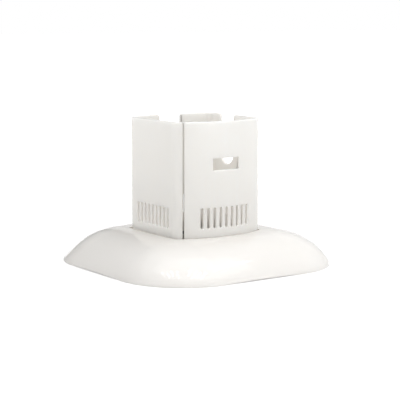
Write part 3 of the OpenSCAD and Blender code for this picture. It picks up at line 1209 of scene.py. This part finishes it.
@dataclass(frozen=True)
class Softbox:
    """One area lamp of the studio, aimed at the object."""

    name: str
    azimuth: float
    elevation: float
    distance: float
    width: float
    height: float
    radiance: float
    mirrored: bool = True
    colour: Colour = (1.0, 1.0, 1.0)
    aim: Vector = Vector((0.0, 0.0, 0.05))

    def build(self) -> None:
        """Place the lamp; azimuth 0 is in front of the switch wall and 90 to its right."""
        a, e = math.radians(self.azimuth), math.radians(self.elevation)
        away = Vector((math.sin(a) * math.cos(e), -math.cos(a) * math.cos(e), math.sin(e)))
        light = bpy.data.lights.new(self.name, "AREA")
        light.shape = "RECTANGLE"
        light.size, light.size_y = self.width, self.height
        light.energy = self.radiance * math.pi * self.width * self.height
        light.color = self.colour
        lamp = bpy.data.objects.new(self.name, light)
        lamp.location = self.aim + away * self.distance
        lamp.rotation_euler = (-away).to_track_quat("-Z", "Y").to_euler()
        lamp.visible_glossy = self.mirrored
        bpy.context.scene.collection.objects.link(lamp)


@dataclass(frozen=True)
class TubeBank:
    """A ceiling fitting with four parallel tubes that shine straight down."""

    name: str
    centre: Vector
    turn: float = 36.0
    pitch: float = 0.18
    width: float = 0.028
    length: float = 0.75
    radiance: float = 12.0

    def build(self) -> None:
        """Hang the tubes side by side."""
        turn = Matrix.Rotation(math.radians(self.turn), 3, "Z").inverted()
        for i in range(4):
            light = bpy.data.lights.new(f"{self.name}_{i}", "AREA")
            light.shape = "RECTANGLE"
            light.size, light.size_y = self.width, self.length
            light.energy = self.radiance * math.pi * self.width * self.length
            lamp = bpy.data.objects.new(f"{self.name}_{i}", light)
            lamp.location = self.centre + turn @ Vector(((i - 1.5) * self.pitch, 0.0, 0.0))
            lamp.rotation_euler = turn.to_euler()
            bpy.context.scene.collection.objects.link(lamp)


@dataclass(frozen=True)
class Card:
    """A card that is only seen mirrored in the object, out of the camera's sight."""

    name: str
    centre: Vector
    width: float
    height: float
    grey: float

    def build(self) -> None:
        """Stand the card up, facing the object."""
        bm = bmesh.new()
        made = bmesh.ops.create_grid(bm, x_segments=1, y_segments=1, size=0.5)["verts"]
        bmesh.ops.scale(bm, verts=made, vec=(self.width, self.height, 1.0))
        turn = self.centre.to_track_quat("Z", "Y").to_matrix()
        bmesh.ops.rotate(bm, verts=made, matrix=turn)
        bmesh.ops.translate(bm, verts=made, vec=self.centre)
        card = new_piece(bm, self.name)
        card.visible_camera = False
        card.visible_diffuse = False
        material = bpy.data.materials.new(self.name)
        material.use_nodes = True
        shader = material.node_tree.nodes["Principled BSDF"]
        shader.inputs["Base Color"].default_value = (self.grey,) * 3 + (1.0,)
        shader.inputs["Roughness"].default_value = 0.9
        card.data.materials.append(material)


@dataclass
class Studio:
    """White sweep, soft lamps and the camera."""

    camera_at: Vector = Vector((-0.71853, -1.0408, 0.24294))
    aim: Vector = Vector((0.00373, -0.00259, 0.06043))
    lens: float = 116.92
    floor_size: float = 12.0
    floor_colour: float = 0.85
    floor_lift: float = 0.16
    far_lift: float = 0.8
    ambient: float = 0.60
    lamps: tuple[Softbox | TubeBank, ...] = (
        Softbox("overhead", 10, 80, 1.5, 1.8, 1.8, 1.05),
        Softbox("key", 70, 60, 1.8, 0.12, 0.36, 14.0),
        Softbox("front", 20, 7, 1.9, 1.2, 0.8, 1.7),
        Softbox("rear_right", 125, 9, 1.8, 1.4, 0.5, 1.4, mirrored=False),
        Softbox("camera_side", -38, 12, 1.7, 0.9, 0.7, 1.0, colour=(1.0, 0.93, 0.86)),
        TubeBank("bank_left", Vector((-0.767, -0.279, 1.75))),
        TubeBank("bank_right", Vector((0.06, -0.76, 1.75))),
    )
    cards: tuple[Card, ...] = (
        Card("grey_card", Vector((-0.48, 1.50, 0.76)), 3.4, 1.55, 0.32),
        Card("pale_card", Vector((1.45, 1.0, 0.28)), 2.0, 0.56, 0.9),
    )

    def white_for_camera(self, nodes: bpy.types.Nodes, links: bpy.types.NodeLinks) -> bpy.types.NodeSocket:
        """Mask that is 1 for camera, glossy and transmission rays."""
        path = nodes.new("ShaderNodeLightPath")
        mask = path.outputs["Is Camera Ray"]
        for name in ("Is Glossy Ray", "Is Transmission Ray"):
            more = nodes.new("ShaderNodeMath")
            more.operation = "MAXIMUM"
            links.new(mask, more.inputs[0])
            links.new(path.outputs[name], more.inputs[1])
            mask = more.outputs[0]
        return mask

    def floor(self) -> None:
        """Lay a large pale floor that keeps the object's shadow."""
        bm = bmesh.new()
        bmesh.ops.create_grid(bm, x_segments=1, y_segments=1, size=self.floor_size)
        floor = new_piece(bm, "studio_floor")
        material = bpy.data.materials.new("floor_white")
        material.use_nodes = True
        nodes, links = material.node_tree.nodes, material.node_tree.links
        shader = nodes["Principled BSDF"]
        shader.inputs["Base Color"].default_value = (self.floor_colour,) * 3 + (1.0,)
        shader.inputs["Roughness"].default_value = 0.9
        shader.inputs["Specular IOR Level"].default_value = 0.0
        shader.inputs["Emission Color"].default_value = (1.0, 1.0, 1.0, 1.0)
        place = nodes.new("ShaderNodeTexCoord")
        away = nodes.new("ShaderNodeVectorMath")
        away.operation = "LENGTH"
        links.new(place.outputs["Object"], away.inputs[0])
        fade = nodes.new("ShaderNodeMapRange")
        fade.interpolation_type = "SMOOTHSTEP"
        fade.inputs["From Min"].default_value = 0.2
        fade.inputs["From Max"].default_value = 1.3
        fade.inputs["To Min"].default_value = self.floor_lift
        fade.inputs["To Max"].default_value = self.far_lift
        links.new(away.outputs["Value"], fade.inputs["Value"])
        lift = nodes.new("ShaderNodeMath")
        lift.operation = "MULTIPLY"
        links.new(fade.outputs["Result"], lift.inputs[1])
        links.new(self.white_for_camera(nodes, links), lift.inputs[0])
        links.new(lift.outputs[0], shader.inputs["Emission Strength"])
        floor.data.materials.append(material)

    def surroundings(self) -> None:
        """Light the set evenly from the world, white where it is seen."""
        world = bpy.data.worlds.new("studio_world")
        bpy.context.scene.world = world
        world.use_nodes = True
        nodes, links = world.node_tree.nodes, world.node_tree.links
        back = nodes["Background"]
        back.inputs["Color"].default_value = (1.0, 1.0, 1.0, 1.0)
        strength = nodes.new("ShaderNodeMapRange")
        strength.inputs["To Min"].default_value = self.ambient
        strength.inputs["To Max"].default_value = 1.0
        links.new(self.white_for_camera(nodes, links), strength.inputs["Value"])
        links.new(strength.outputs["Result"], back.inputs["Strength"])

    def camera(self) -> None:
        """Set up the camera."""
        lens = bpy.data.cameras.new("studio_camera")
        lens.lens = self.lens
        lens.sensor_width = 36.0
        lens.clip_start, lens.clip_end = 0.01, 100.0
        camera = bpy.data.objects.new("studio_camera", lens)
        camera.location = self.camera_at
        camera.rotation_euler = (self.aim - self.camera_at).to_track_quat("-Z", "Y").to_euler()
        bpy.context.scene.collection.objects.link(camera)
        bpy.context.scene.camera = camera

    def build(self) -> None:
        """Build the whole set."""
        self.camera()
        self.floor()
        self.surroundings()
        for item in (*self.cards, *self.lamps):
            item.build()
        bpy.context.scene.view_settings.view_transform = "Standard"


def main() -> None:
    """Build the object and the studio."""
    logging.basicConfig(level=logging.INFO, format="%(name)s: %(message)s")
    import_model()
    finishes = Finishes()
    plan = TowerPlan()
    tower = TowerShroud(plan)
    tower.build(finishes)
    Skirt(plan).build(finishes)
    ClampParts(tower.screw_spots()).build(finishes)
    Footing().build(finishes)
    Studio().build()


if __name__ == "__main__":
    main()
